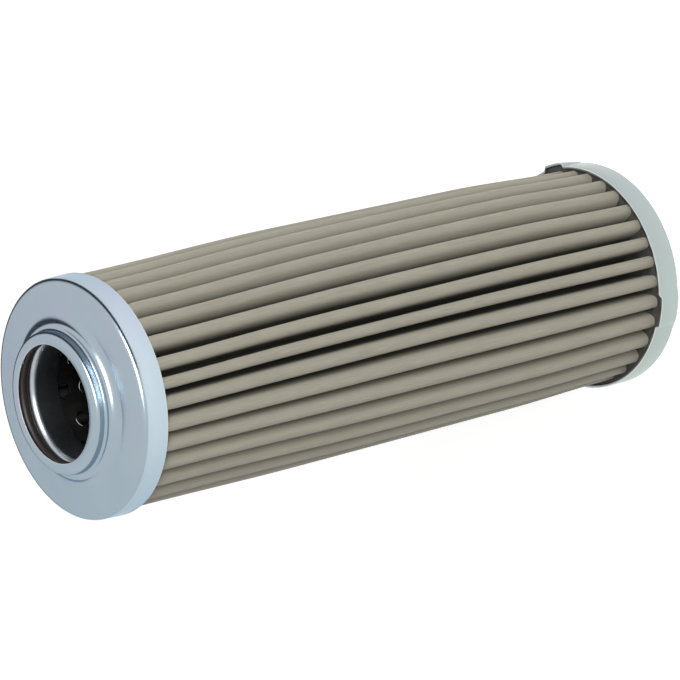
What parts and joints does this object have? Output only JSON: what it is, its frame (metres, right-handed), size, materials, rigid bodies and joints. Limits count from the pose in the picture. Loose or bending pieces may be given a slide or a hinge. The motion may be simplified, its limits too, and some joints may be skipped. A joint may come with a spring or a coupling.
{
  "type": "hydraulic filter element",
  "caption": "Cylindrical pleated wire cloth filter element with a perforated core tube, a stepped open end cap with a spigot seal, and a closed end cap with rim lugs.",
  "frame": {"origin": "centre of the closed end cap's flat outer face, on which the element stands", "axes": "+Z along the element's axis, from the closed end to the neck of the open end; -Y is the side that the picture shows"},
  "size_m": [0.0709, 0.0696, 0.2104],
  "materials": {
    "plated_steel": "zinc plated, satin",
    "bright_steel": "bright drawn",
    "dark_steel": "dark, lightly oiled",
    "seal_rubber": "matte",
    "wire_cloth": "fine woven wire, matte",
    "fine_cloth": "fine filtering cloth",
    "potting": "cured adhesive, matte"
  },
  "bodies": {
    "root": {"open_end_cap": "plated_steel", "closed_end_cap": "plated_steel", "spigot_seal": "seal_rubber", "seal_sleeve": "bright_steel", "core_tube": "dark_steel", "outer_mesh": "wire_cloth", "filter_cloth": "fine_cloth", "drain_mesh": "wire_cloth", "seam_clip": "bright_steel", "potting_open_end": "potting", "potting_closed_end": "potting"}
  },
  "joints": []
}
